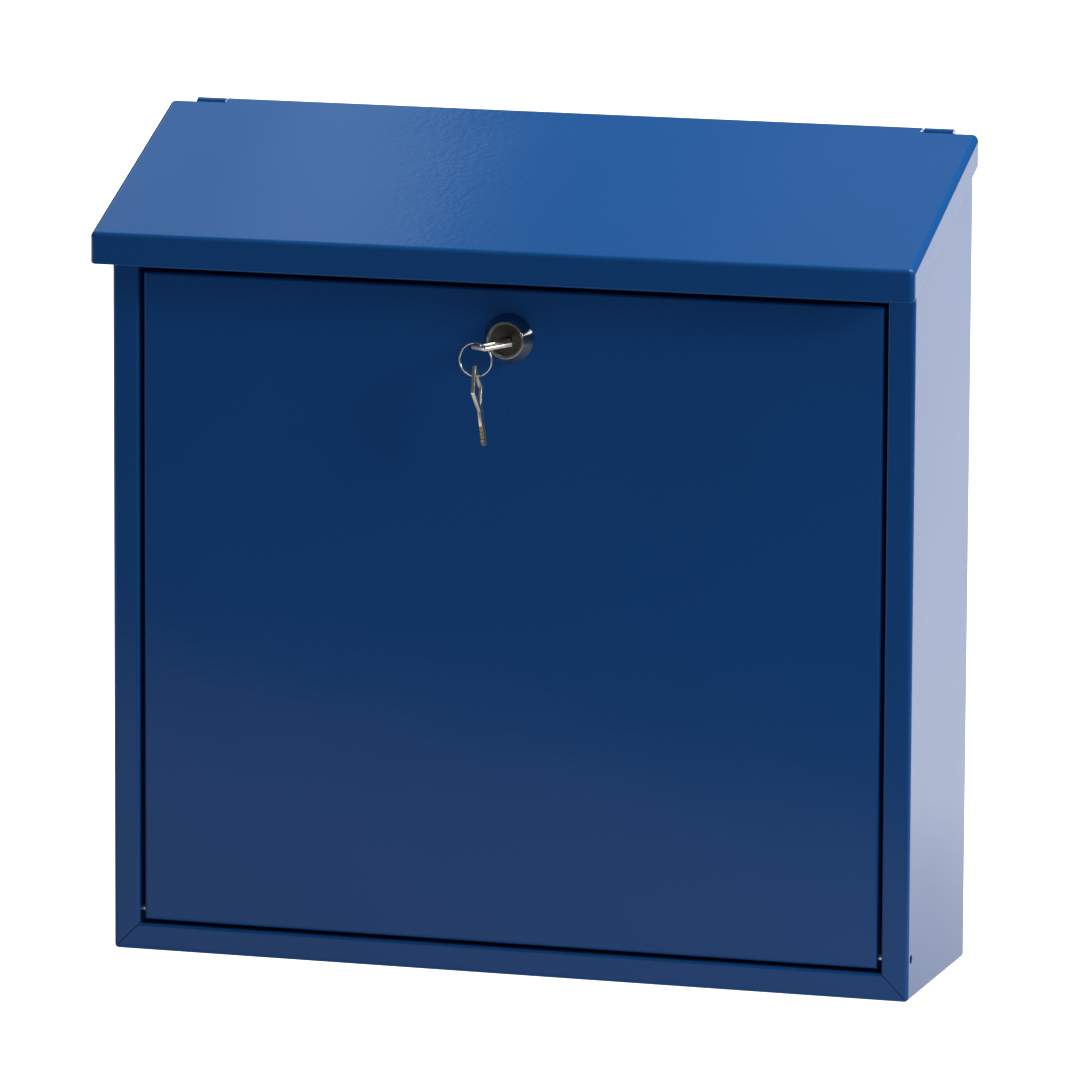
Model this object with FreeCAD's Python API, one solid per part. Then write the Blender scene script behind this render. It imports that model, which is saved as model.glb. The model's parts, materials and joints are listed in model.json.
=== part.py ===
import FreeCAD, Part
import math
import os

from FreeCAD import Vector

# Wall letterbox of folded sheet steel: a box with a drop-down door that swings on two pins at its
# foot, a sloping lid on a rod at the back, and a cam lock with its two keys on a split ring.
# Millimetres. X runs across, Y from front to back, Z up.
# Origin: centre of the base, on its underside.

# Driving dimensions of the case
WIDTH = 362.0            # outside of the side walls
DEPTH = 97.0             # front face of the frame to the wall face
SHEET = 1.0              # steel sheet
BEND = 2.0               # outside radius of the case's folds
FRAME = 12.0             # width of the front frame's flanges
FRAME_RETURN = 10.0      # depth of the fold-back behind each flange
SEAM_GAP = 0.3           # mitre seam between a side flange and the bottom flange
SEAM_END = 1.6           # seam stops this far short of the corner
RETURN_BEND = 1.2        # outside radius of that fold

# Lid
SLOPE_DEG = 22.5
LID_SIDE = 4.0           # lid stands this far past each side wall
LID_FRONT = 18.3         # and this far ahead of the frame
LID_SKIRT_Z = 307.3      # lower edge of the front skirt
LID_FOLD_Z = 321.1       # where the slope meets the front skirt, before the fold is rounded
LID_REAR_DROP = 12.6     # height of the side skirt at its rear end
LID_BEND = 2.75
LID_REST_GAP = 0.6       # lid's underside above the side walls
LID_EDGE = 0.35          # paint-rounded lower edges of the skirts
LID_CORNER_CUT = 6.6     # lid's rear corners stop this far short of the wall face

# Lid hinge: rolled knuckles on a steel rod
ROD_R = 1.5
KNUCKLE_R = 2.5
KNUCKLE_W = 13.2
KNUCKLE_X = 166.5        # centre of each knuckle of the back panel
KNUCKLE_GAP = 1.0
RUN = 0.08               # radial clearance of a running fit

# Door
DOOR_SIDE_GAP = 2.0
DOOR_FOOT_GAP = 1.7
DOOR_TOP_GAP = 1.7
DOOR_TOP_Z = 302.5
DOOR_SET_BACK = 1.0      # door's face behind the frame's face
DOOR_SIDE_FLANGE = 14.0
DOOR_END_FLANGE = 12.0
DOOR_BEND = 1.5

# Door pivots
PIN_R = 1.8
PIN_BEHIND = 5.3         # pin axis behind the frame's face
PIN_Z = 18.2
PIN_INNER_X = 164.5
PIN_OUTER_X = 178.0
PIN_ACCESS_R = 2.0       # hole in the side wall that the pin is driven through

# Head rail above the door
RAIL_TOP_Z = 320.5
RAIL_LOWER_FLANGE = 16.5
RAIL_UPPER_FLANGE = 8.0

# Back panel
BACK_FLANGE = 10.0
BACK_BEND = 1.2
BACK_TOP_Z = 362.2
HOLE_R = 3.5
HOLE_SPACING_X = 260.0
HOLE_SPACING_Z = 200.0
HOLE_CENTRE_Z = 180.0

# Cam lock, measured along its axis from the door's face: ahead is negative
LOCK_Z = 280.8
COLLAR_R = 11.0
COLLAR_FRONT_R = 8.2
COLLAR_H = 6.0
COLLAR_RECESS_R = 7.3
COLLAR_EDGE = 0.4
BARREL_R = 9.0
BARREL_L = 16.0
BARREL_FLATS = 16.0
PLUG_R = 6.8
PLUG_FACE = -4.9
PLUG_TAIL = 7.0          # side of the square tail that turns the cam
NUT_FLATS = 24.0
NUT_H = 4.0
NUT_WASHER_R = 13.5
NUT_WASHER_H = 0.8
CAM_W = 15.0
CAM_REACH = 31.0
CAM_T = 2.0
CAM_WASHER_R = 5.0
CAM_WASHER_T = 1.0
CAM_GAP = 0.8            # cam behind the barrel's end
CAM_TIP_R = 3.0
HOLE_PLAY = 0.15         # door's hole round the barrel
SCREW_R = 2.0
SCREW_HEAD_R = 3.8
SCREW_HEAD_H = 2.5
SCREW_L = 11.0
CROSS_REACH = 2.2        # the cross recess in the screw's head
CROSS_W = 0.9
CROSS_DEPTH = 1.3
KEYWAY_W = 5.4
KEYWAY_H = 2.3
KEYWAY_L = 9.5
WAFER_COUNT = 4
WAFER_T = 0.8
WAFER_PITCH = 1.9
WAFER_FIRST = -3.2       # first wafer's middle
WAFER_L = 12.2
WAFER_W = 4.6
WAFER_PLAY = 0.05
SPRING_R = 0.6
SPRING_L = 3.0
SPRING_OFF = 3.6
REST_TURN_DEG = 7.0      # the key stands this far from level while the door is unlocked

# Keys: a diamond bow, a short neck and a notched blade
KEY_T = 1.6
KEY_SHOULDER = -6.2      # neck's end, ahead of the plug's face
KEY_NECK_L = 4.4
KEY_NECK_W = 5.2
KEY_BLADE_L = 9.2
KEY_BLADE_W = 4.6
KEY_TIP_W = 1.6          # width of the blade's blunt tip
KEY_TIP_L = 1.2          # length of its two slanted corners
BOW_L = 22.0
BOW_W = 19.4
BOW_OFFSET = 1.1         # the bow's middle stands this far left of the blade's
BOW_HOLE = 0.64          # size of the diamond hole in the bow, as a part of the bow
BOW_CORNER_R = 0.8
NOTCHES = (0.5, 0.9, 0.6, 0.8, 0.4)
NOTCH_FIRST = 1.2        # first notch behind the shoulder
NOTCH_PITCH = 1.55
NOTCH_FLAT = 0.5         # width of a notch's floor

# Split ring and the spare key that hangs on it
RING_R = 7.25            # to the middle of the wire
RING_WIRE_R = 0.45
RING_LIFT = 0.35         # ring clear of the bow that carries it
RING_SIDE = 0.6          # ring's middle to the right of the strip that carries it
SPARE_DROP = 1.2         # hole's upper corner above the ring's wire
SPARE_LEAN_DEG = 7.0
SPARE_TURN_DEG = 5.0     # turned this far from square to the door

FRONT = -DEPTH / 2
BACK = DEPTH / 2
HALF = WIDTH / 2
OPENING_X = HALF - FRAME
SLOPE = math.tan(math.radians(SLOPE_DEG))
DROP = 1 / math.cos(math.radians(SLOPE_DEG))   # height taken by one unit of thickness on the slope
FAR = 500.0

ROD_Y = BACK - KNUCKLE_R
DOOR_FACE = FRONT + DOOR_SET_BACK
DOOR_X = OPENING_X - DOOR_SIDE_GAP
DOOR_FOOT_Z = FRAME + DOOR_FOOT_GAP
RAIL_FOOT_Z = DOOR_TOP_Z + DOOR_TOP_GAP
CAM_START = BARREL_L + CAM_GAP
PIN_Y = FRONT + PIN_BEHIND
SCREW_SEAT = CAM_START + CAM_T + CAM_WASHER_T


def slope_z(y):
    """Height of the lid's upper surface at a depth."""
    return LID_FOLD_Z + (y - (FRONT - LID_FRONT)) * SLOPE


ROD_Z = slope_z(ROD_Y) - KNUCKLE_R * DROP


def box(x0, x1, y0, y1, z0, z1):
    return Part.makeBox(x1 - x0, y1 - y0, z1 - z0, Vector(x0, y0, z0))


def rod_x(radius, x0, x1, y, z):
    return Part.makeCylinder(radius, x1 - x0, Vector(x0, y, z), Vector(1, 0, 0))


def rod_y(radius, y0, y1, x=0.0, z=0.0):
    return Part.makeCylinder(radius, y1 - y0, Vector(x, y0, z), Vector(0, 1, 0))


def prism_x(points, x0, x1):
    """Outline in Y and Z, extruded across."""
    corners = [Vector(x0, y, z) for y, z in points]
    face = Part.Face(Part.makePolygon(corners + corners[:1]))
    return face.extrude(Vector(x1 - x0, 0, 0))


def plate_z(points, z0, z1):
    """Outline in X and Y, extruded upwards."""
    corners = [Vector(x, y, z0) for x, y in points]
    face = Part.Face(Part.makePolygon(corners + corners[:1]))
    return face.extrude(Vector(0, 0, z1 - z0))


def ends(edge):
    return [v.Point for v in edge.Vertexes]


def straight_along(edge, direction):
    if len(edge.Vertexes) != 2:
        return False
    a, b = ends(edge)
    return (b - a).cross(direction).Length < 1e-6


def round_edges(shape, radius, test):
    """Round the edges whose middle passes the test."""
    chosen = [e for e in shape.Edges if test(e, e.BoundBox.Center)]
    return shape.makeFillet(radius, chosen)


def near(a, b, within=0.01):
    return abs(a - b) < within


def above_lid(gap):
    """Everything higher than the lid's underside less a gap."""
    low = -SHEET * DROP - gap
    outline = [
        (-FAR, slope_z(-FAR) + low),
        (FAR, slope_z(FAR) + low),
        (FAR, 2 * FAR),
        (-FAR, 2 * FAR),
    ]
    return prism_x(outline, -FAR, FAR)


def folded_case(inset, start_y, foot_z, end_y, radius):
    """Block with the case's rounded folds, before it is hollowed or as its hollow."""
    x = HALF - inset
    block = box(-x, x, start_y, end_y, foot_z, FAR)

    def fold(edge, mid):
        side_foot = near(abs(mid.x), x) and near(mid.z, foot_z)
        front_post = near(abs(mid.x), x) and near(mid.y, start_y)
        front_foot = near(mid.y, start_y) and near(mid.z, foot_z)
        return side_foot or front_post or front_foot

    return round_edges(block, radius, fold)


def mitre_seam(side):
    """Narrow gap where a side flange meets the bottom flange."""
    length = FRAME * math.sqrt(2) - SEAM_END
    seam = box(-length, 0, FRONT - SHEET, FRONT + 1.2 * SHEET, -SEAM_GAP / 2, SEAM_GAP / 2)
    seam.rotate(Vector(0, 0, 0), Vector(0, 1, 0), -45)
    seam.translate(Vector(-OPENING_X, 0, FRAME))
    if side > 0:
        seam = seam.mirror(Vector(0, 0, 0), Vector(1, 0, 0))
    return seam


def body_wrap():
    """Base and both side walls from one sheet, with the front frame folded from their edges."""
    outer = folded_case(0, FRONT, 0, BACK, BEND)
    inner = folded_case(SHEET, FRONT + SHEET, SHEET, BACK + 10, BEND - SHEET)
    window = box(-OPENING_X, OPENING_X, FRONT - 1, FRONT + 2 * SHEET, FRAME, FAR)
    shell = outer.cut([inner, window])
    rear = FRONT + FRAME_RETURN
    returns = [
        box(-OPENING_X - SHEET, -OPENING_X, FRONT, rear, FRAME - SHEET, FAR),
        box(OPENING_X, OPENING_X + SHEET, FRONT, rear, FRAME - SHEET, FAR),
        box(-OPENING_X, OPENING_X, FRONT, rear, FRAME - SHEET, FRAME),
    ]
    shell = shell.fuse(returns).removeSplitter()

    def fold_back(edge, mid):
        if not near(mid.y, FRONT):
            return False
        post = near(abs(mid.x), OPENING_X) and straight_along(edge, Vector(0, 0, 1))
        foot = near(mid.z, FRAME) and straight_along(edge, Vector(1, 0, 0))
        return post or foot

    shell = round_edges(shell, RETURN_BEND, fold_back)
    too_high = box(-FAR, FAR, -FAR, FAR, BACK_TOP_Z, 2 * FAR)
    cuts = [above_lid(LID_REST_GAP), too_high, mitre_seam(-1), mitre_seam(1)]
    for x0, x1, radius in ((HALF - 5, HALF + 5, PIN_ACCESS_R), (OPENING_X - 1, OPENING_X + 3, PIN_R)):
        cuts.append(rod_x(radius, x0, x1, PIN_Y, PIN_Z))
        cuts.append(rod_x(radius, -x1, -x0, PIN_Y, PIN_Z))
    return shell.cut(cuts)


def head_rail():
    """Channel across the top of the door opening, which the lock's cam catches behind."""
    blank = box(-OPENING_X, OPENING_X, FRONT, FRONT + RAIL_LOWER_FLANGE, RAIL_FOOT_Z, RAIL_TOP_Z)
    blank = round_edges(blank, RETURN_BEND, lambda e, m: near(m.y, FRONT) and near(m.x, 0))
    hollow = box(-FAR, FAR, FRONT + SHEET, FAR, RAIL_FOOT_Z + SHEET, RAIL_TOP_Z - SHEET)
    shorter = box(-FAR, FAR, FRONT + RAIL_UPPER_FLANGE, FAR, RAIL_TOP_Z - 2 * SHEET, FAR)
    return blank.cut([hollow, shorter])


def knuckle(x0, x1, bore):
    """Rolled sheet round the rod."""
    return rod_x(KNUCKLE_R, x0, x1, ROD_Y, ROD_Z).cut(rod_x(bore, x0 - 1, x1 + 1, ROD_Y, ROD_Z))


def hole_places():
    half_x = HOLE_SPACING_X / 2
    half_z = HOLE_SPACING_Z / 2
    return [(sx * half_x, HOLE_CENTRE_Z + sz * half_z) for sx in (-1, 1) for sz in (-1, 1)]


def back_panel():
    """Tray-shaped back with the wall holes and the two outer knuckles of the lid hinge."""
    x = HALF - SHEET
    blank = box(-x, x, BACK - BACK_FLANGE, BACK, SHEET, BACK_TOP_Z)
    blank = round_edges(blank, BACK_BEND, lambda e, m: near(abs(m.x), x) and near(m.z, SHEET))
    hollow = box(-x + SHEET, x - SHEET, -FAR, BACK - SHEET, 2 * SHEET, FAR)
    panel = blank.cut([hollow, above_lid(LID_REST_GAP)])
    parts = []
    for side in (-1, 1):
        x0 = side * KNUCKLE_X - KNUCKLE_W / 2
        x1 = side * KNUCKLE_X + KNUCKLE_W / 2
        parts.append(box(x0, x1, BACK - SHEET, BACK, BACK_TOP_Z - 5, ROD_Z))
        parts.append(rod_x(KNUCKLE_R, x0, x1, ROD_Y, ROD_Z))
    holes = [rod_y(HOLE_R, BACK - 5, BACK + 5, x, z) for x, z in hole_places()]
    return panel.fuse(parts).removeSplitter().cut(holes + [rod_x(ROD_R, -FAR, FAR, ROD_Y, ROD_Z)])


def lid_block(inset, start_y, drop, foot_z, end_y, foot_end_z, radius):
    """Wedge with the lid's rounded folds, before it is hollowed or as its hollow."""
    x = HALF + LID_SIDE - inset
    outline = [
        (start_y, foot_z),
        (start_y, slope_z(start_y) - drop),
        (end_y, slope_z(end_y) - drop),
        (end_y, foot_end_z),
    ]
    block = prism_x(outline, -x, x)

    def fold(edge, mid):
        at_side = near(abs(mid.x), x)
        on_slope = near(mid.z, slope_z(mid.y) - drop)
        front_post = at_side and near(mid.y, start_y)
        front_fold = near(mid.y, start_y) and on_slope
        side_fold = at_side and on_slope and mid.y < end_y - 1
        return front_post or front_fold or side_fold

    return round_edges(block, radius, fold)


def lid_shell():
    """Sloping lid with skirts on three sides and a hem rolled round the hinge rod."""
    front = FRONT - LID_FRONT
    rear = ROD_Y - KNUCKLE_R * math.sin(math.radians(SLOPE_DEG))
    corner_rear = BACK - LID_CORNER_CUT
    rear_foot = slope_z(corner_rear) - LID_REAR_DROP
    outer = lid_block(0, front, 0, LID_SKIRT_Z, rear, rear_foot, LID_BEND)
    inner = lid_block(SHEET, front + SHEET, SHEET * DROP, 0, rear + 20, 0, LID_BEND - SHEET)
    shell = outer.cut(inner)
    hem = KNUCKLE_X - KNUCKLE_W / 2 - KNUCKLE_GAP
    notch_end = KNUCKLE_X + KNUCKLE_W / 2 + KNUCKLE_GAP
    cuts = [rod_x(ROD_R + RUN, -FAR, FAR, ROD_Y, ROD_Z)]
    for side in (-1, 1):
        near_x, far_x = sorted((side * hem, side * FAR))
        cuts.append(box(near_x, far_x, corner_rear, BACK + 20, 0, FAR))
        near_x, far_x = sorted((side * hem, side * notch_end))
        cuts.append(box(near_x, far_x, ROD_Y - KNUCKLE_R - KNUCKLE_GAP, BACK + 20, 0, FAR))
    shell = shell.fuse(rod_x(KNUCKLE_R, -hem, hem, ROD_Y, ROD_Z)).removeSplitter().cut(cuts)

    def skirt_foot(edge, mid):
        side_x = HALF + LID_SIDE
        foot_rise = (rear_foot - LID_SKIRT_Z) / (corner_rear - front)
        at_front = near(mid.y, front) and near(mid.z, LID_SKIRT_Z)
        at_side = near(abs(mid.x), side_x) and near(mid.z, LID_SKIRT_Z + (mid.y - front) * foot_rise, 0.3)
        at_corner = near(mid.z, LID_SKIRT_Z, 0.5) and abs(mid.x) > side_x - 2 and mid.y < front + 2
        return at_front or at_side or at_corner

    return round_edges(shell, LID_EDGE, skirt_foot)


def door_panel():
    """Door pan: a sheet with its four edges folded back."""
    def pan(inset, start_y, foot, top, end_y, radius):
        x = DOOR_X - inset
        block = box(-x, x, start_y, end_y, foot, top)
        return round_edges(block, radius, lambda e, m: near(m.y, start_y))

    outer = pan(0, DOOR_FACE, DOOR_FOOT_Z, DOOR_TOP_Z, DOOR_FACE + DOOR_SIDE_FLANGE, DOOR_BEND)
    inner = pan(SHEET, DOOR_FACE + SHEET, DOOR_FOOT_Z + SHEET, DOOR_TOP_Z - SHEET, FAR, DOOR_BEND - SHEET)
    inner_x = DOOR_X - 2 * SHEET
    lower = box(-inner_x, inner_x, DOOR_FACE + DOOR_END_FLANGE, FAR, 0, FAR)
    pins = rod_x(PIN_R + RUN, -FAR, FAR, PIN_Y, PIN_Z)
    return outer.cut([inner, lower, pins, at_lock(barrel(HOLE_PLAY))])


def barrel(extra=0.0):
    """Round barrel with two flats, along the lock's axis from the door's face."""
    body = rod_y(BARREL_R + extra, 0, BARREL_L)
    half = BARREL_FLATS / 2 + extra
    return body.common(box(-half, half, -1, FAR, -FAR, FAR))


def at_lock(shape):
    """Move a shape from the lock's axis, at the door's face, to its place."""
    shape.translate(Vector(0, DOOR_FACE, LOCK_Z))
    return shape


def turned(shape):
    """As at_lock, turned to where the plug stands while the door is unlocked."""
    shape.rotate(Vector(0, 0, 0), Vector(0, -1, 0), REST_TURN_DEG)
    return at_lock(shape)


def lock_body():
    """Conical collar and threaded barrel in one casting, bored for the plug."""
    collar = Part.makeCone(COLLAR_R, COLLAR_FRONT_R, COLLAR_H, Vector(0, 0, 0), Vector(0, -1, 0))
    collar = round_edges(collar, COLLAR_EDGE, lambda e, m: near(m.y, -COLLAR_H))
    body = collar.fuse(barrel()).removeSplitter()
    recess = rod_y(COLLAR_RECESS_R, -COLLAR_H - 1, PLUG_FACE)
    return at_lock(body.cut([recess, rod_y(PLUG_R + RUN, -FAR, FAR)]))


def lock_nut():
    """Hexagon nut that clamps the barrel to the door."""
    corner = NUT_FLATS / math.sqrt(3)
    start = SHEET + NUT_WASHER_H
    points = [Vector(corner * math.cos(math.radians(60 * i)), start, corner * math.sin(math.radians(60 * i)))
              for i in range(7)]
    blank = Part.Face(Part.makePolygon(points)).extrude(Vector(0, NUT_H, 0))
    return at_lock(blank.cut(rod_y(BARREL_R, 0, FAR)))


def nut_washer():
    ring = rod_y(NUT_WASHER_R, SHEET, SHEET + NUT_WASHER_H)
    return at_lock(ring.cut(rod_y(BARREL_R, 0, FAR)))


def wafer_places():
    return [WAFER_FIRST + i * WAFER_PITCH for i in range(WAFER_COUNT)]


def wafer_blank(y, play, window):
    half_t = WAFER_T / 2 + play
    half_w = WAFER_W / 2 + play
    half_l = WAFER_L / 2 + play
    plate = box(-half_l, half_l, y - half_t, y + half_t, -half_w, half_w)
    if not window:
        return plate
    return plate.cut(box(-KEYWAY_W / 2, KEYWAY_W / 2, -FAR, FAR, -KEYWAY_H / 2, KEYWAY_H / 2))


def spring_at(y, radius, half_length):
    return rod_x(radius, -half_length, half_length, y, SPRING_OFF)


def lock_plug():
    """Turning core with its keyway, wafer slots and square tail."""
    core = rod_y(PLUG_R, PLUG_FACE, CAM_START)
    half = PLUG_TAIL / 2
    core = core.fuse(box(-half, half, CAM_START - 1, CAM_START + CAM_T - 0.1, -half, half))
    cuts = [
        box(-KEYWAY_W / 2, KEYWAY_W / 2, PLUG_FACE - 1, PLUG_FACE + KEYWAY_L, -KEYWAY_H / 2, KEYWAY_H / 2),
        rod_y(SCREW_R, SCREW_SEAT - SCREW_L, FAR),
    ]
    for y in wafer_places():
        cuts.append(wafer_blank(y, WAFER_PLAY, False))
        cuts.append(spring_at(y, SPRING_R + WAFER_PLAY, SPRING_L / 2 + WAFER_PLAY))
    return turned(core.removeSplitter().cut(cuts))


def plug_wafers():
    return turned(Part.makeCompound([wafer_blank(y, 0, True) for y in wafer_places()]))


def wafer_springs():
    """The wafers' coil springs, as plain sleeves."""
    sleeves = []
    for y in wafer_places():
        sleeve = spring_at(y, SPRING_R, SPRING_L / 2).cut(spring_at(y, SPRING_R / 2, SPRING_L))
        sleeves.append(sleeve)
    return turned(Part.makeCompound(sleeves))


def lock_cam():
    """Flat cam on the plug's tail, pointing sideways while the door is unlocked."""
    half = CAM_W / 2
    arm = box(0, CAM_REACH, CAM_START, CAM_START + CAM_T, -half, half)
    depthwise = Vector(0, 1, 0)
    arm = round_edges(arm, CAM_TIP_R, lambda e, m: near(m.x, CAM_REACH) and straight_along(e, depthwise))
    cam = arm.fuse(rod_y(half, CAM_START, CAM_START + CAM_T)).removeSplitter()
    socket = PLUG_TAIL / 2
    return turned(cam.cut(box(-socket, socket, -FAR, FAR, -socket, socket)))


def cam_washer():
    start = CAM_START + CAM_T
    ring = rod_y(CAM_WASHER_R, start, start + CAM_WASHER_T)
    return turned(ring.cut(rod_y(SCREW_R, 0, FAR)))


def cam_screw():
    """Cross-recessed screw that holds the cam on the plug."""
    head = rod_y(SCREW_HEAD_R, SCREW_SEAT, SCREW_SEAT + SCREW_HEAD_H)
    head = round_edges(head, 1.0, lambda e, m: near(m.y, SCREW_SEAT + SCREW_HEAD_H))
    screw = head.fuse(rod_y(SCREW_R, SCREW_SEAT - SCREW_L, SCREW_SEAT)).removeSplitter()
    far_y = SCREW_SEAT + SCREW_HEAD_H
    thick = CROSS_W / 2
    cross = [
        box(-CROSS_REACH, CROSS_REACH, far_y - CROSS_DEPTH, far_y + 1, -thick, thick),
        box(-thick, thick, far_y - CROSS_DEPTH, far_y + 1, -CROSS_REACH, CROSS_REACH),
    ]
    return turned(screw.cut(cross))


def diamond(scale):
    """Diamond plate about its own centre, long way along Y."""
    half_l = scale * BOW_L / 2
    half_w = scale * BOW_W / 2
    outline = [(0, -half_l), (half_w, 0), (0, half_l), (-half_w, 0)]
    plate = plate_z(outline, -KEY_T / 2, KEY_T / 2)
    return round_edges(plate, BOW_CORNER_R, lambda e, m: straight_along(e, Vector(0, 0, 1)))


def key_blank():
    """A key along the lock's axis, its blade towards +Y and its bow ahead of the plug."""
    bow_rear = KEY_SHOULDER - KEY_NECK_L
    bow_mid = bow_rear - BOW_L / 2
    half_t = KEY_T / 2
    bow = diamond(1.0)
    bow.translate(Vector(-BOW_OFFSET, bow_mid, 0))
    half_neck = KEY_NECK_W / 2
    into_bow = BOW_L / BOW_W * (half_neck + BOW_OFFSET) + KEY_T / 2
    neck = box(-half_neck, half_neck, bow_rear - into_bow, KEY_SHOULDER, -half_t, half_t)
    half_w = KEY_BLADE_W / 2
    tip = KEY_SHOULDER + KEY_BLADE_L
    outline = [
        (-half_w, KEY_SHOULDER - KEY_T / 2),
        (half_w, KEY_SHOULDER - KEY_T / 2),
        (half_w, tip - KEY_TIP_L),
        (KEY_TIP_W / 2, tip),
        (-KEY_TIP_W / 2, tip),
        (-half_w, tip - KEY_TIP_L),
    ]
    blade = plate_z(outline, -half_t, half_t)
    key = bow.fuse([neck, blade]).removeSplitter()
    hole = diamond(BOW_HOLE)
    hole.translate(Vector(-BOW_OFFSET, bow_mid, 0))
    cuts = [hole]
    outside = 0.1
    for i, deep in enumerate(NOTCHES):
        y = KEY_SHOULDER + NOTCH_FIRST + i * NOTCH_PITCH
        edge = -half_w
        half_flat = NOTCH_FLAT / 2
        slant = deep * 0.5 + outside
        notch = [(edge - outside, y - half_flat - slant), (edge + deep, y - half_flat),
                 (edge + deep, y + half_flat), (edge - outside, y + half_flat + slant)]
        cuts.append(plate_z(notch, -KEY_T, KEY_T))
    return key.cut(cuts)


def bow_middle():
    return KEY_SHOULDER - KEY_NECK_L - BOW_L / 2


def carrying_strip():
    """Middle of the bow's left corner strip, which carries the ring: X and Z in place."""
    reach = BOW_OFFSET + BOW_W / 2 * (1 + BOW_HOLE) / 2
    angle = math.radians(REST_TURN_DEG)
    return -reach * math.cos(angle), LOCK_Z - reach * math.sin(angle)


def ring_centre():
    x, z = carrying_strip()
    inner = RING_R - RING_WIRE_R
    half_strip = BOW_W / 2 * (1 - BOW_HOLE) / 2
    angle = math.radians(REST_TURN_DEG)
    along = Vector(math.cos(angle), 0, math.sin(angle))
    upward = Vector(-math.sin(angle), 0, math.cos(angle))
    middle = Vector(x, DOOR_FACE + bow_middle(), z)
    heights = []
    for end in (-half_strip, half_strip):
        corner = along * end + upward * (KEY_T / 2)
        heights.append(corner.z - math.sqrt(inner ** 2 - (corner.x - RING_SIDE) ** 2))
    return middle + Vector(RING_SIDE, 0, max(heights) + RING_LIFT)


def key():
    return turned(key_blank())


def key_ring():
    """Split ring, upright, through the bow of the key in the lock."""
    return Part.makeTorus(RING_R, RING_WIRE_R, ring_centre(), Vector(0, 1, 0))


def spare_key():
    """The second key, hanging from the ring by its bow, edge on to the front."""
    spare = key_blank()
    hole_top = bow_middle() - BOW_HOLE * BOW_L / 2
    spare.translate(Vector(BOW_OFFSET, -hole_top, 0))
    spare.rotate(Vector(0, 0, 0), Vector(1, 0, 0), -90)
    spare.rotate(Vector(0, 0, 0), Vector(0, 0, 1), 90 + SPARE_TURN_DEG)
    spare.translate(Vector(0, 0, SPARE_DROP))
    spare.rotate(Vector(0, 0, 0), Vector(0, -1, 0), SPARE_LEAN_DEG)
    centre = ring_centre()
    spare.translate(centre - Vector(0, 0, RING_R))
    return spare


def lid_hinge_rod():
    end = KNUCKLE_X + KNUCKLE_W / 2 + 0.5
    return rod_x(ROD_R, -end, end, ROD_Y, ROD_Z)


def door_pin(side):
    """Steel pin pressed into the frame's fold-back, on which the door turns."""
    x0, x1 = sorted((side * PIN_INNER_X, side * PIN_OUTER_X))
    pin = rod_x(PIN_R, x0, x1, PIN_Y, PIN_Z)
    return pin.makeChamfer(0.3, [e for e in pin.Edges if not straight_along(e, Vector(1, 0, 0))])


NODES = {
    "body_wrap": body_wrap(),
    "back_panel": back_panel(),
    "head_rail": head_rail(),
    "lid_hinge_rod": lid_hinge_rod(),
    "door_pin_left": door_pin(-1),
    "door_pin_right": door_pin(1),
    "lid_shell": lid_shell(),
    "door_panel": door_panel(),
    "lock_body": lock_body(),
    "lock_nut": lock_nut(),
    "nut_washer": nut_washer(),
    "lock_plug": lock_plug(),
    "plug_wafers": plug_wafers(),
    "wafer_springs": wafer_springs(),
    "lock_cam": lock_cam(),
    "cam_washer": cam_washer(),
    "cam_screw": cam_screw(),
    "door_key": key(),
    "key_ring": key_ring(),
    "spare_key": spare_key(),
}

os.makedirs("parts", exist_ok=True)
for name, shape in NODES.items():
    shape.exportStep("parts/" + name + ".step")
    bounds = shape.BoundBox
    print(name, "solids", len(shape.Solids), "valid", shape.isValid(), "volume", round(shape.Volume, 1),
          "low", [round(v, 2) for v in (bounds.XMin, bounds.YMin, bounds.ZMin)],
          "high", [round(v, 2) for v in (bounds.XMax, bounds.YMax, bounds.ZMax)])
print("rod axis", round(ROD_Y, 3), round(ROD_Z, 3), "pin axis", round(PIN_Y, 3), PIN_Z)
print("ring centre", ring_centre(), "strip", carrying_strip())
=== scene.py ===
# %% [markdown]
# # A blue steel letterbox
# The letterbox is folded from one millimetre steel sheet and powder coated. Its shape comes ready made
# from the engineering model, so this lesson is about what a maker adds afterwards: the coat's orange
# peel, the small turned and stamped pieces of the lock, and the light that shows them.
# The first cell loads the model. Every piece keeps the place that it has there, in metres.

# %% Load the engineering model
import json
import math

import bmesh
import bpy
from mathutils import Euler, Matrix, Vector


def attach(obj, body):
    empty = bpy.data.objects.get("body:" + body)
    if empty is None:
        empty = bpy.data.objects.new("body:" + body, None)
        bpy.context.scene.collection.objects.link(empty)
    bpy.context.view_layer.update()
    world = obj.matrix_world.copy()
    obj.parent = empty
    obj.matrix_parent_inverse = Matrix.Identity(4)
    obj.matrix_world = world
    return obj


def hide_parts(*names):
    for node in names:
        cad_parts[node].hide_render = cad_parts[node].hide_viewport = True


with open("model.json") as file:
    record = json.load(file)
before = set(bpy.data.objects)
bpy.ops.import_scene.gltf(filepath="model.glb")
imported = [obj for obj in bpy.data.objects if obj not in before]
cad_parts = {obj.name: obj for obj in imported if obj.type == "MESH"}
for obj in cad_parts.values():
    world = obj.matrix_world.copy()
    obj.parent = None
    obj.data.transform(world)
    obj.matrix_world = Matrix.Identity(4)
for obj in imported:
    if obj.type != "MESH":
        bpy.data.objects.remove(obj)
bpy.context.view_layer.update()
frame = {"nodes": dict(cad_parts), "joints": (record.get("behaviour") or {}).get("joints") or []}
nodes = frame["nodes"]
MM = 0.001


# %% [markdown]
# A joint's place and axis are already in the record, so nothing about the lock or the keys has to be
# measured again. The lock's axis runs straight into the door, and the joint that turns the lock says
# where it is.

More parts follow.
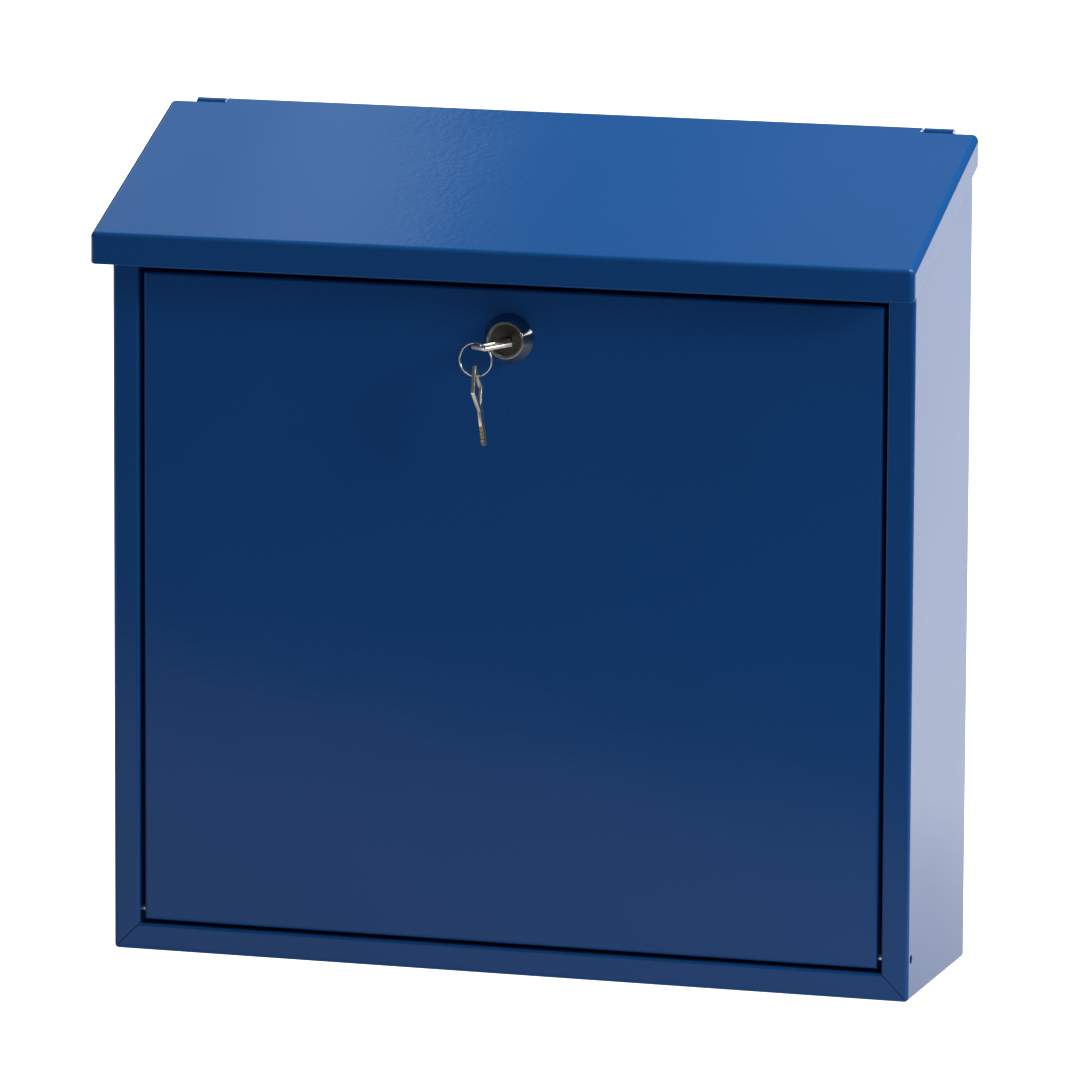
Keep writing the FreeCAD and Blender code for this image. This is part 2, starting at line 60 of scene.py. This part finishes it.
# %% Places taken from the joints
joints = {joint["name"]: joint for joint in frame["joints"]}
lock_axis = Vector(joints["lock_turn"]["pos_m"])
print("lock axis", tuple(round(v, 4) for v in lock_axis))


# %% [markdown]
# ## Camera
# A long lens from four metres keeps the box's edges almost parallel, as a catalogue picture does.
# The camera is placed by the angle it is seen from instead of by coordinates: a bearing to the right of
# the door's normal, a height above level, and a distance from the middle of the case.

# %% Place the camera
VIEW_BEARING = math.radians(16.71)
VIEW_RISE = math.radians(9.816)
VIEW_ROLL = math.radians(0.28)
VIEW_DISTANCE = 4.192
LENS = 319.1
target = Vector((0.0001, 0, 0.1848))
towards_camera = Vector((
    math.sin(VIEW_BEARING) * math.cos(VIEW_RISE),
    -math.cos(VIEW_BEARING) * math.cos(VIEW_RISE),
    math.sin(VIEW_RISE),
))
camera_data = bpy.data.cameras.new("camera")
camera_data.lens = LENS
camera_data.sensor_width = 36
camera_data.clip_end = 50
camera = bpy.data.objects.new("camera", camera_data)
bpy.context.collection.objects.link(camera)
turn = Euler((math.pi / 2 - VIEW_RISE, 0, VIEW_BEARING)).to_matrix().to_4x4()
roll = Matrix.Rotation(VIEW_ROLL, 4, "Z")
camera.matrix_world = Matrix.Translation(target + towards_camera * VIEW_DISTANCE) @ turn @ roll
bpy.context.scene.camera = camera
bpy.context.scene.view_settings.view_transform = "Standard"
print("camera at", tuple(round(v, 3) for v in camera.matrix_world.translation))


# %% [markdown]
# ## Shader helpers
# A material is a small network of nodes. Writing it as arithmetic is easier to read than a list of
# links, so a Signal stands for one output socket and adds a Math node for each operator.

# %% Arithmetic on nodes
class Signal:
    """One number or colour that runs through a material's nodes."""

    def __init__(self, finish, socket):
        self.finish = finish
        self.socket = socket

    def __add__(self, other):
        return self.finish.math("ADD", self, other)

    __radd__ = __add__

    def __mul__(self, other):
        return self.finish.math("MULTIPLY", self, other)

    __rmul__ = __mul__


# %% [markdown]
# A Network is a new material with one Principled shader. Its methods add a node, do arithmetic and feed
# one of the shader's sockets.

# %% A material as a small network
class Network:
    """A material built round one Principled shader."""

    def __init__(self, name, **constants):
        self.material = bpy.data.materials.new(name)
        self.material.use_nodes = True
        self.tree = self.material.node_tree
        self.shader = self.tree.nodes["Principled BSDF"]
        for socket, value in constants.items():
            self.shader.inputs[socket.replace("_", " ")].default_value = value

    def node(self, kind, settings=(), values=(), out=0):
        """Add a node: its settings first, then its sockets, each a value or a Signal."""
        node = self.tree.nodes.new(kind)
        for name, value in dict(settings).items():
            setattr(node, name, value)
        for name, value in dict(values).items():
            if isinstance(value, Signal):
                self.tree.links.new(value.socket, node.inputs[name])
            else:
                node.inputs[name].default_value = value
        return Signal(self, node.outputs[out])

    def math(self, operation, first, second=0.0):
        return self.node("ShaderNodeMath", {"operation": operation}, {0: first, 1: second})

    def feed(self, socket, signal):
        self.tree.links.new(signal.socket, self.shader.inputs[socket])


# %% [markdown]
# A Finish adds the few nodes that this lesson paints with: coordinates, noise, a ramp, a mix of two
# colours and a bump.

# %% The nodes of a finish
class Finish(Network):
    """Coordinates, noise, ramps and mixes for one material."""

    def place(self, scale=(1, 1, 1), turn=(0, 0, 0)):
        """Object coordinates, stretched or turned by a Mapping node."""
        coordinates = self.node("ShaderNodeTexCoord", out="Object")
        values = {"Vector": coordinates, "Scale": scale, "Rotation": turn}
        return self.node("ShaderNodeMapping", values=values)

    def noise(self, grain, detail=2.0, place=None):
        """Noise from 0 to 1 whose lumps are about grain metres across."""
        values = {"Vector": place or self.place(), "Scale": 1 / grain, "Detail": detail}
        return self.node("ShaderNodeTexNoise", values=values)

    def ramp(self, factor, stops):
        """Grey or coloured steps along a number, as pairs of place and colour."""
        node = self.tree.nodes.new("ShaderNodeValToRGB")
        elements = node.color_ramp.elements
        while len(elements) < len(stops):
            elements.new(0.5)
        for element, (place, colour) in zip(elements, stops):
            element.position = place
            shade = colour if isinstance(colour, tuple) else (colour, colour, colour)
            element.color = (*shade, 1)
        self.tree.links.new(factor.socket, node.inputs[0])
        return Signal(self, node.outputs[0])

    def blend(self, factor, first, second):
        """Mix two colours."""
        node = self.tree.nodes.new("ShaderNodeMix")
        node.data_type = "RGBA"
        for name, value in (("Factor", factor), ("A", first), ("B", second)):
            socket = [s for s in node.inputs if s.name == name and s.enabled][0]
            if isinstance(value, Signal):
                self.tree.links.new(value.socket, socket)
            elif isinstance(value, tuple):
                socket.default_value = (*value, 1)
            else:
                socket.default_value = value
        output = [s for s in node.outputs if s.enabled][0]
        return Signal(self, output)

    def bump(self, height):
        """Feed the normal from a height in metres."""
        values = {"Height": height, "Distance": 1.0, "Strength": 1.0}
        self.feed("Normal", self.node("ShaderNodeBump", values=values))


# %% [markdown]
# The model's own pieces come with plain materials. Their meshes stay as they are, and only the
# material slot changes.

# %% Dress a piece
def dress(names, finish):
    """Give the model's pieces a finish, in place of their plain one."""
    for name in names:
        data = nodes[name].data
        data.materials.clear()
        data.materials.append(finish.material)
    print(finish.material.name, "on", len(names), "pieces")


# %% [markdown]
# ## Powder coat
# Powder melts into a smooth, glossy skin that stays slightly lumpy: orange peel, with lumps about
# three millimetres across. The sheet under it is never quite flat either, so a second, much longer
# wave bends the reflections. Both go into one height in metres, which keeps their sizes honest.
# The lid lies flatter than the walls, so the powder is thicker there and its peel is deeper.

# %% Powder coat
PEEL, RIPPLE, RIPPLE_HEIGHT, CLOUD = 2.8 * MM, 90 * MM, 0.30 * MM, 60 * MM
DEEP_BLUE, PALE_BLUE = (0.0055, 0.057, 0.220), (0.0065, 0.061, 0.231)


def powder_coat(name, peel_height):
    coat = Finish(name, Specular_IOR_Level=0.16)
    peel = coat.noise(PEEL, 1.5)
    ripple = coat.noise(RIPPLE, 1.0)
    coat.bump(peel * peel_height + ripple * RIPPLE_HEIGHT)
    coat.feed("Base Color", coat.blend(coat.noise(CLOUD, 3.0), DEEP_BLUE, PALE_BLUE))
    coat.feed("Roughness", coat.noise(1.2 * MM, 3.0) * 0.06 + 0.06)
    return coat


upright_coat = powder_coat("blue_powder_coat", 0.022 * MM)
lid_coat = powder_coat("blue_powder_coat_lid", 0.036 * MM)
dress(["body_wrap", "back_panel", "head_rail", "door_panel"], upright_coat)
dress(["lid_shell"], lid_coat)


# %% [markdown]
# ## Metals
# The small pieces are all metal, and one recipe serves them: a colour that is a little darker in
# places, a roughness that follows the same mottling, and a fine grain in the surface. The lock's core
# is raw cast zinc, so it is dark and coarse. The casing over it is polished.

# %% Small metal finishes
def metal(name, colour, roughness, grain, depth):
    finish = Finish(name, Metallic=1.0)
    mottle = finish.noise(grain, 4.0)
    darker = tuple(v * 0.72 for v in colour)
    finish.feed("Base Color", finish.blend(mottle, darker, colour))
    finish.feed("Roughness", mottle * 0.2 + (roughness - 0.1))
    finish.bump(finish.noise(grain, 3.0) * depth)
    return finish


chrome = metal("polished_chrome", (0.50, 0.50, 0.50), 0.11, 3 * MM, 0.001 * MM)
cast_zinc = metal("cast_zinc", (0.085, 0.08, 0.068), 0.34, 0.9 * MM, 0.20 * MM)
zinc_plate = metal("zinc_plated_steel", (0.60, 0.61, 0.62), 0.30, 1.5 * MM, 0.005 * MM)
nickel = metal("nickel_key", (0.80, 0.76, 0.68), 0.34, 1.2 * MM, 0.01 * MM)
ring_nickel = metal("nickel_ring", (0.72, 0.70, 0.66), 0.20, 1.0 * MM, 0.003 * MM)
brass = metal("wafer_brass", (0.75, 0.55, 0.25), 0.30, 1.0 * MM, 0.005 * MM)
dress(["lock_plug"], cast_zinc)
dress(["lid_hinge_rod", "door_pin_left", "door_pin_right", "lock_nut", "nut_washer"], zinc_plate)
dress(["lock_cam", "cam_washer", "cam_screw", "wafer_springs"], zinc_plate)
dress(["plug_wafers"], brass)


# %% [markdown]
# ## From a bmesh to a piece
# The small pieces are modelled in millimetres, about their own axis, and moved to the model's frame at
# the end. Every one goes through the same steps: doubled points are merged, the faces are turned to
# look outwards, and the shape takes its size and place from one matrix, so the object itself stays at
# the origin. Edges sharper than 25 degrees stay crisp under smooth shading.

# %% From a bmesh to a piece
SHARP = math.radians(25)


def make_piece(mesh, name, body, finishes, place, stands_for=()):
    bmesh.ops.remove_doubles(mesh, verts=mesh.verts, dist=0.002)
    bmesh.ops.recalc_face_normals(mesh, faces=mesh.faces)
    bmesh.ops.transform(mesh, matrix=place @ Matrix.Scale(MM, 4), verts=mesh.verts)
    for face in mesh.faces:
        face.smooth = True
    data = bpy.data.meshes.new(name)
    mesh.to_mesh(data)
    mesh.free()
    data.set_sharp_from_angle(angle=SHARP)
    for finish in finishes:
        data.materials.append(finish.material)
    piece = bpy.data.objects.new(name, data)
    bpy.context.collection.objects.link(piece)
    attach(piece, body)
    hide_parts(*stands_for)
    print(name, "faces", len(data.polygons), "on", body)
    return piece


def lathe(mesh, profile, steps=96):
    """Spin a closed profile of radius and place along Y about the Y axis."""
    verts = [mesh.verts.new((radius, along, 0)) for radius, along in profile]
    edges = [mesh.edges.new(pair) for pair in zip(verts, verts[1:] + verts[:1])]
    bmesh.ops.spin(
        mesh, geom=verts + edges, cent=(0, 0, 0), axis=(0, 1, 0),
        angle=2 * math.pi, steps=steps, use_merge=True,
    )


# %% [markdown]
# ## Lock casing
# The casing is one zinc casting that is turned and plated: a cone that stands on the door and a
# threaded barrel that goes through it. On a lathe each shape is a profile that is spun about the axis,
# and a spin makes it here as well. The front rim is rounded with five short steps, since a plated edge
# is never sharp.
# The thread is drawn as rings instead of a helix, which looks the same behind the door.

# %% Collar
COLLAR_R, RIM_R, RECESS_R, BORE_R = 11.0, 8.2, 7.3, 6.9
COLLAR_H, PLUG_FACE, BARREL_L = 6.0, -4.9, 16.0
lock_place = Matrix.Translation(lock_axis)


def lock_collar():
    mesh = bmesh.new()
    slope, soft = 25, 0.22
    angles = [math.radians(slope + step * (90 - slope) / 5) for step in range(6)]
    rim = [(RIM_R - soft + soft * math.cos(a), -COLLAR_H + soft - soft * math.sin(a)) for a in angles]
    lip = [(RECESS_R + 0.08, -COLLAR_H), (RECESS_R, -COLLAR_H + 0.08), (RECESS_R, PLUG_FACE)]
    lathe(mesh, [(COLLAR_R, 0), (COLLAR_R, -0.35)] + rim + lip + [(BORE_R, PLUG_FACE), (BORE_R, 0)])
    return mesh


# %% [markdown]
# The barrel has two flats that stop it turning in the door. They are cut by a plane on each side, and
# the cut is filled.

# %% Barrel
def lock_barrel():
    mesh = bmesh.new()
    crest, root, pitch = 9.0, 8.5, 1.0
    thread = []
    for ring in range(int(BARREL_L - 1)):
        start = 0.5 + ring * pitch
        thread += [(crest, start), (crest, start + 0.2), (root, start + 0.5), (root, start + 0.7)]
    lathe(mesh, [(BORE_R, 0), (root, 0)] + thread + [(root, BARREL_L), (BORE_R, BARREL_L)])
    for side in (-1, 1):
        cut = bmesh.ops.bisect_plane(
            mesh, geom=mesh.verts[:] + mesh.edges[:] + mesh.faces[:],
            plane_co=(side * 8, 0, 0), plane_no=(side, 0, 0), clear_outer=True,
        )
        edges = [item for item in cut["geom_cut"] if isinstance(item, bmesh.types.BMEdge)]
        bmesh.ops.contextual_create(mesh, geom=edges)
    return mesh


make_piece(
    lock_collar(), "lock_collar", "door", [chrome], lock_place, ["lock_body"],
)
make_piece(lock_barrel(), "lock_barrel", "door", [chrome], lock_place)


# %% [markdown]
# ## Keys
# A key of this kind is stamped from a brass strip, nickel plated, and then cut, so the notches show
# bare brass. Three islands make it up. The bow is a circle of four sides, which is a diamond: its
# corners are rounded, a smaller one is its hole, and an extrusion gives the thickness. The neck is a
# block whose end is buried in the bow. The blade is an outline with its notches, extruded, with a
# milled groove along both faces that lets it into the keyway.

# %% Key bow
KEY_T, BOW_L, BOW_W, BOW_OFFSET, BOW_HOLE = 1.6, 22.0, 19.4, 1.1, 0.64
SHOULDER, NECK_L, NECK_W, BLADE_L, BLADE_W = -6.2, 4.4, 5.2, 9.2, 4.6
BOW_MID = SHOULDER - NECK_L - BOW_L / 2


def thicken(mesh, faces, thickness, edge):
    """Extrude flat faces both ways from Z = 0 and round the outer edges."""
    made = bmesh.ops.extrude_face_region(mesh, geom=faces)
    top = [item for item in made["geom"] if isinstance(item, bmesh.types.BMVert)]
    bmesh.ops.translate(mesh, verts=top, vec=(0, 0, thickness))
    bmesh.ops.translate(mesh, verts=mesh.verts, vec=(0, 0, -thickness / 2))
    mesh.normal_update()
    bmesh.ops.recalc_face_normals(mesh, faces=mesh.faces)
    flat = [e for e in mesh.edges if abs(e.verts[0].co.z - e.verts[1].co.z) < 1e-6]
    rims = [e for e in flat if len(e.link_faces) == 2 and e.calc_face_angle(0) > 1]
    bmesh.ops.bevel(mesh, geom=rims, offset=edge, segments=2, profile=0.5, affect="EDGES", material=-1)


def key_bow():
    mesh = bmesh.new()
    bmesh.ops.create_circle(mesh, cap_ends=True, segments=4, radius=1)
    bmesh.ops.bevel(
        mesh, geom=mesh.verts[:], offset=0.088, segments=3, profile=0.5, affect="VERTICES", material=-1,
    )
    bmesh.ops.delete(mesh, geom=mesh.faces[:], context="FACES_ONLY")
    bmesh.ops.create_circle(mesh, cap_ends=False, segments=4, radius=BOW_HOLE)
    bmesh.ops.scale(mesh, vec=(BOW_W / 2, BOW_L / 2, 1), verts=mesh.verts)
    bmesh.ops.triangle_fill(mesh, edges=mesh.edges[:], use_beauty=True, use_dissolve=False)
    thicken(mesh, mesh.faces[:], KEY_T, 0.22)
    bmesh.ops.translate(mesh, verts=mesh.verts, vec=(-BOW_OFFSET, BOW_MID, 0))
    return mesh


# %% [markdown]
# The neck joins the same mesh as an island of its own. It is a unit cube, scaled and moved, with its
# edges rounded, and it starts just inside the bow's strip.

# %% Key neck
def key_neck(mesh):
    into_bow = BOW_L / BOW_W * (NECK_W / 2 + BOW_OFFSET) + 0.4
    length = NECK_L + into_bow + 0.3
    made = bmesh.ops.create_cube(mesh, size=1)["verts"]
    bmesh.ops.scale(mesh, vec=(NECK_W, length, KEY_T - 0.16), verts=made)
    bmesh.ops.translate(mesh, verts=made, vec=(0, SHOULDER + 0.3 - length / 2, 0))
    edges = list({edge for vert in made for edge in vert.link_edges})
    bmesh.ops.bevel(mesh, geom=edges, offset=0.2, segments=2, profile=0.5, affect="EDGES", material=-1)


# %% [markdown]
# The blade's outline runs round the plain edge, the tip and the notches. Its side faces inside a notch
# get the second finish, bare brass, and those between two notches keep their plating. The groove is two
# cuts along the blade and an inset of the band between them that also sinks it.

# %% Key blade
NOTCHES = (0.5, 0.9, 0.6, 0.8, 0.4)
NOTCH_FIRST, NOTCH_PITCH, NOTCH_FLAT, DEEPEST = 1.2, 1.55, 0.5, 1.0
GROOVE = (0.15, 1.15)


def blade_outline():
    half, tip = BLADE_W / 2, SHOULDER + BLADE_L
    outline = [(half, SHOULDER), (half, tip - 1.2), (0.8, tip), (-0.8, tip), (-half, tip - 1.2)]
    for number, deep in reversed(list(enumerate(NOTCHES))):
        middle = SHOULDER + NOTCH_FIRST + number * NOTCH_PITCH
        for step in (1, -1):
            wide = NOTCH_FLAT / 2
            far = (-half, middle + step * (wide + deep * 0.5))
            near = (-half + deep, middle + step * wide)
            outline += [far, near] if step > 0 else [near, far]
    return outline + [(-half, SHOULDER)]


def key_blade():
    mesh = bmesh.new()
    face = mesh.faces.new([mesh.verts.new((x, y, 0)) for x, y in blade_outline()])
    thicken(mesh, [face], KEY_T - 0.1, 0.1)
    for place in GROOVE:
        bmesh.ops.bisect_plane(
            mesh, geom=mesh.verts[:] + mesh.edges[:] + mesh.faces[:],
            plane_co=(place, 0, 0), plane_no=(1, 0, 0),
        )
    flat = [face for face in mesh.faces if abs(face.normal.z) > 0.9]
    band = [face for face in flat if GROOVE[0] < face.calc_center_median().x < GROOVE[1]]
    bmesh.ops.inset_individual(mesh, faces=band, thickness=0.05, depth=-0.35, use_even_offset=True)
    for face in mesh.faces:
        middle = face.calc_center_median()
        cut = 0.12 < middle.x + BLADE_W / 2 < DEEPEST and abs(face.normal.z) < 0.5
        face.material_index = 1 if cut and middle.y > SHOULDER + 0.3 else 0
    return mesh


# %% [markdown]
# A key is the three islands together.

# %% Whole key
def whole_key():
    mesh = key_bow()
    key_neck(mesh)
    blade = key_blade()
    data = bpy.data.meshes.new("blade")
    blade.to_mesh(data)
    blade.free()
    mesh.from_mesh(data)
    bpy.data.meshes.remove(data)
    return mesh


# %% [markdown]
# One key stands in the lock, turned seven degrees from level. The other hangs from the ring by its
# bow's upper corner with its flat side across the view, so it is stood on end, given a little over a
# quarter turn and leant a little, and only then moved to the lowest point of the ring.

# %% Place both keys
lean = Matrix.Rotation(math.radians(7), 4, Vector((0, -1, 0)))
key_finish = [nickel, brass]
make_piece(whole_key(), "key_in_lock", "key", key_finish, lock_place @ lean, ["door_key"])

hole_top = BOW_MID - BOW_HOLE * BOW_L / 2
to_hole = Matrix.Translation(Vector((BOW_OFFSET, -hole_top, 0)) * MM)
stand = Matrix.Rotation(math.radians(95), 4, "Z") @ Matrix.Rotation(math.radians(-90), 4, "X")
drop = Matrix.Translation(Vector((0, 0, 1.2)) * MM)
ring_low = Vector(joints["spare_key_swing"]["pos_m"])
spare_place = Matrix.Translation(ring_low) @ lean @ drop @ stand @ to_hole
make_piece(whole_key(), "key_on_ring", "spare", key_finish, spare_place, ["spare_key"])


# %% [markdown]
# ## Split ring
# A split ring is a flat coil of two turns. A small circle is spun twice round the ring's axis while it
# also moves along it, which is what the spin's offset is for. Both ends are closed, and they are
# turned to the top, where the key hides them.

# %% Split ring
RING_R, COIL_R, COIL_PITCH = 7.25, 0.31, 0.62


def split_ring():
    mesh = bmesh.new()
    steps = 224
    turn = Matrix.Rotation(math.radians(25), 3, "Z")
    ends_up = Matrix.Rotation(math.radians(-90), 3, "Y")
    wire = bmesh.ops.create_circle(mesh, cap_ends=False, segments=12, radius=COIL_R)["verts"]
    edges = list({edge for vert in wire for edge in vert.link_edges})
    bmesh.ops.rotate(mesh, verts=wire, cent=(0, 0, 0), matrix=turn)
    bmesh.ops.translate(mesh, verts=wire, vec=(RING_R, -COIL_PITCH, 0))
    bmesh.ops.spin(
        mesh, geom=wire + edges, cent=(0, 0, 0), axis=(0, 1, 0), dvec=(0, 2 * COIL_PITCH / steps, 0),
        angle=4 * math.pi, steps=steps, use_merge=False,
    )
    bmesh.ops.holes_fill(mesh, edges=[e for e in mesh.edges if e.is_boundary], sides=0)
    bmesh.ops.rotate(mesh, verts=mesh.verts, cent=(0, 0, 0), matrix=ends_up)
    return mesh


ring_place = Matrix.Translation(ring_low + Vector((0, 0, RING_R * MM)))
make_piece(split_ring(), "split_ring", "ring", [ring_nickel], ring_place, ["key_ring"])


# %% [markdown]
# ## Studio
# The box hangs on a wall, so the studio's floor is a little below it and the dropped door clears it.
# Floor and cards are plain squares, and none of them is attached to the object.

# %% A staged card
def card(name, half, place, finish):
    """Square card that isn't part of the object."""
    mesh = bmesh.new()
    bmesh.ops.create_grid(mesh, x_segments=1, y_segments=1, size=half)
    data = bpy.data.meshes.new(name)
    mesh.to_mesh(data)
    mesh.free()
    data.materials.append(finish.material)
    made = bpy.data.objects.new(name, data)
    made.location = place
    bpy.context.collection.objects.link(made)
    print(name, 2 * half, "m across")


# %% [markdown]
# The floor is dark paper that glows. It is white wherever the camera sees it, and it darkens in front,
# in the part that only the door mirrors: that is why the door is dark above and paler towards its foot.
# Right under the box the glow dims to a band, a painted shadow on the floor that also keeps light off
# the door's upper part. The edges between these parts run aslant, so the paper's coordinates are
# turned.

# %% Floor
FLOOR_DROP, FLOOR_TURN = 0.13, math.radians(-28.6)


def studio_floor():
    paper = Finish("floor_glow_with_painted_shadow", Roughness=0.8, Emission_Strength=2.4)
    paper.shader.inputs["Base Color"].default_value = (0.08, 0.08, 0.08, 1)
    turned = paper.place(turn=(0, 0, FLOOR_TURN))
    across = paper.node("ShaderNodeSeparateXYZ", values={0: turned}, out=1)
    # The dim stops from 0.48 to 0.62 lie right under the box: a painted shadow on the floor.
    steps = [
        (0.10, 0.04), (0.135, 0.18), (0.175, 0.29), (0.23, 0.44),
        (0.40, 0.47), (0.48, 0.22), (0.62, 0.22), (0.69, 0.42), (0.80, 0.60), (0.88, 0.80),
    ]
    paper.feed("Emission Color", paper.ramp(across * 0.457 + 0.5645, steps))
    card("studio_floor", 8.0, (0, 0, -FLOOR_DROP), paper)


# %% [markdown]
# The lid is a glossy slope, and what it mirrors is a card up behind the box: bright on the left, with a
# soft end, and dim on the right.

# %% Reflector
def reflector():
    cloth = Finish("reflector_cloth", Roughness=0.9, Emission_Strength=1.0)
    cloth.shader.inputs["Base Color"].default_value = (0.05, 0.05, 0.05, 1)
    along = cloth.node("ShaderNodeSeparateXYZ", values={0: cloth.place()}, out=0)
    steps = [
        (0.30, (1.10, 1.30, 1.40)), (0.42, (0.75, 0.90, 1.00)), (0.46, (1.20, 1.45, 1.60)),
        (0.518, (1.05, 1.30, 1.45)), (0.553, 0.30), (0.60, 0.14), (0.66, 0.22), (0.735, 0.44),
    ]
    cloth.feed("Emission Color", cloth.ramp(along * 0.7 + 0.35, steps))
    card("reflector", 1.3, (-1.1, 1.6, 2.4), cloth)


# %% [markdown]
# Three softboxes do the rest: one lights the right side, one the lid, and a small one low at the front
# puts the glint on the lock's cone. A softbox is given by its brightness instead of its power, so it
# can change size without changing the picture's exposure.

# %% Softboxes
def softbox(name, place, aim, width, height, radiance, tint=(1, 1, 1)):
    """Rectangular area light of a given brightness."""
    data = bpy.data.lights.new(name, "AREA")
    data.shape = "RECTANGLE"
    data.size = width
    data.size_y = height
    data.energy = radiance * math.pi * width * height
    data.color = tint
    light = bpy.data.objects.new(name, data)
    light.location = place
    light.rotation_euler = (Vector(aim) - Vector(place)).to_track_quat("-Z", "Y").to_euler()
    bpy.context.collection.objects.link(light)
    print(name, "power", round(data.energy, 1), "W")


studio_floor()
softbox("key_softbox", (1.6, 1.0, 2.2), (0, 0, 0.2), 0.8, 0.8, 18)
softbox("overhead_softbox", (0.6, 0.3, 2.3), (0, 0, 0.3), 1.4, 1.0, 15, (1.0, 1.03, 0.84))
softbox("front_softbox", (2.34, -0.95, 1.22), (0, 0, 0.28), 0.7, 0.8, 16)
reflector()


# %% [markdown]
# A faint, even sky keeps the unlit sides from going black.

# %% Sky
world = bpy.data.worlds.new("studio")
bpy.context.scene.world = world
world.use_nodes = True
sky = world.node_tree.nodes["Background"].inputs
sky["Color"].default_value = (1, 1, 1, 1)
sky["Strength"].default_value = 0.09
print("sky strength", round(sky["Strength"].default_value, 2))
